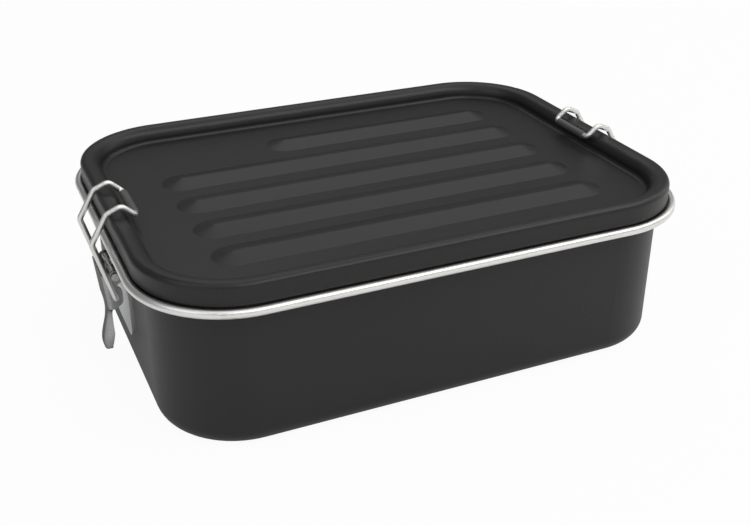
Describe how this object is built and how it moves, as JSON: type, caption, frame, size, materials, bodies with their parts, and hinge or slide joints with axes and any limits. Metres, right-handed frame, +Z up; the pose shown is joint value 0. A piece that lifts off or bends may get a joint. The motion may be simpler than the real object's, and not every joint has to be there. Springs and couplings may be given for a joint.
{
  "type": "lunch box",
  "caption": "Black metal lunch box with a bright rim bead, a ribbed sunk lid with a seal, and a wire bail latch with a lever at each short end.",
  "frame": {"origin": "middle of the tub's flat floor, on its underside", "axes": "+X along the length towards the right latch, +Y across the width towards the short rib, +Z up"},
  "size_m": [0.2262, 0.1616, 0.0704],
  "materials": {
    "black_coat": "satin",
    "bright_rim": "polished",
    "latch_steel": "satin",
    "latch_wire": "polished",
    "seal": "matte",
    "grip": "satin"
  },
  "bodies": {
    "box": {"tub": "black_coat", "rim_ring": "bright_rim", "left_bracket": "latch_steel", "right_bracket": "latch_steel", "left_hinge_pin": "latch_steel", "right_hinge_pin": "latch_steel"},
    "lid_body": {"lid": "black_coat", "lid_seal": "seal"},
    "left_lever_body": {"left_lever": "latch_steel"},
    "right_lever_body": {"right_lever": "latch_steel"},
    "left_bail_body": {"left_bail": "latch_wire", "left_sleeve": "grip"},
    "right_bail_body": {"right_bail": "latch_wire", "right_sleeve": "grip"}
  },
  "joints": [
    {"name": "lid_lift", "type": "slide", "parent": "box", "child": "lid_body", "axis": [0, 0, 1], "range_m": [0, 0.005]},
    {"name": "left_lever_swing", "type": "hinge", "parent": "box", "child": "left_lever_body", "pos_m": [-0.1052, 0, 0.0415], "axis": [0, 1, 0], "range_deg": [0, 110]},
    {"name": "right_lever_swing", "type": "hinge", "parent": "box", "child": "right_lever_body", "pos_m": [0.1052, 0, 0.0415], "axis": [0, -1, 0], "range_deg": [0, 110]},
    {"name": "left_bail_swing", "type": "hinge", "parent": "left_lever_body", "child": "left_bail_body", "pos_m": [-0.1059, 0, 0.033], "axis": [0, 1, 0], "range_deg": [-85.8, 0]},
    {"name": "right_bail_swing", "type": "hinge", "parent": "right_lever_body", "child": "right_bail_body", "pos_m": [0.1059, 0, 0.033], "axis": [0, -1, 0], "range_deg": [-85.8, 0]}
  ],
  "couplings": [
    {"joint": "left_lever_swing", "follows": "lid_lift", "rad_per_m": 383.97},
    {"joint": "left_bail_swing", "follows": "lid_lift", "rad_per_m": -299.5},
    {"joint": "right_lever_swing", "follows": "lid_lift", "rad_per_m": 383.97},
    {"joint": "right_bail_swing", "follows": "lid_lift", "rad_per_m": -299.5}
  ]
}
